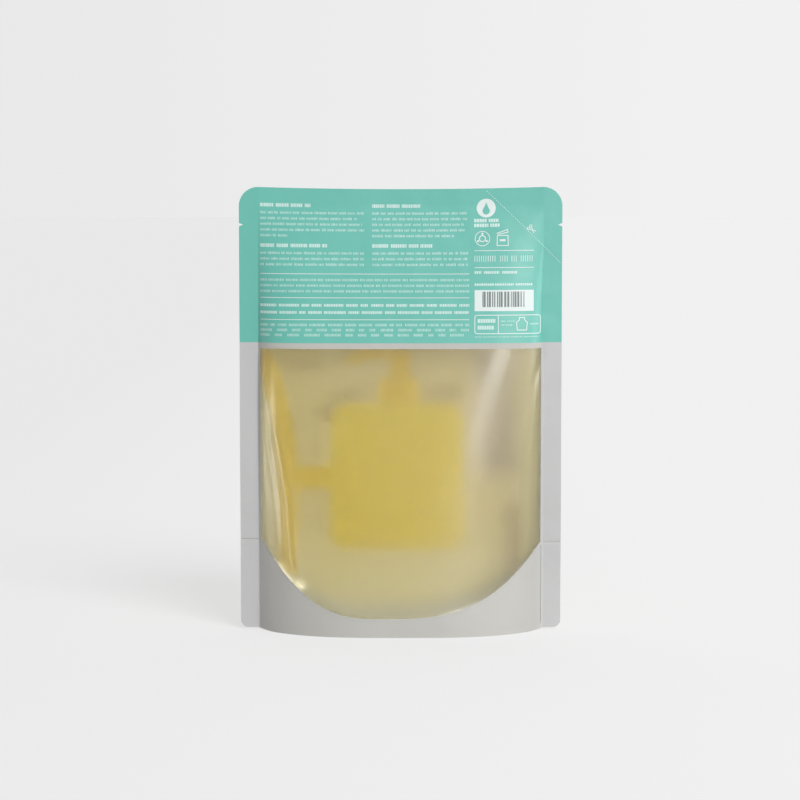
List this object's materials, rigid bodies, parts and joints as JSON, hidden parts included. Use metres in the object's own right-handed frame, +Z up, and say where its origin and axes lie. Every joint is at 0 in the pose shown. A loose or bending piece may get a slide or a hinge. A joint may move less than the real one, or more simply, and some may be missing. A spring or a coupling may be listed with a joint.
{
  "type": "hand soap refill pack",
  "caption": "Stand-up refill pouch of heat-sealed film: wide flat seals, rounded top corners, tear notches, opened bottom gusset and a window onto the liquid inside.",
  "frame": {"origin": "on the ground under the middle of the standing pack", "axes": "+Z up towards the top seal; X along the width between the side seals; -Y out of the rear panel, the one with the window; +Y out of the front panel"},
  "size_m": [0.16, 0.0532, 0.22],
  "materials": {
    "rear_film": "laminated film, printed teal above a clear window",
    "front_film": "laminated film, printed",
    "gusset_film": "frosted film",
    "soap": "pale yellow clear liquid"
  },
  "bodies": {
    "root": {"rear_panel": "rear_film", "front_panel": "front_film", "bottom_gusset": "gusset_film", "soap_fill": "soap"}
  },
  "joints": []
}
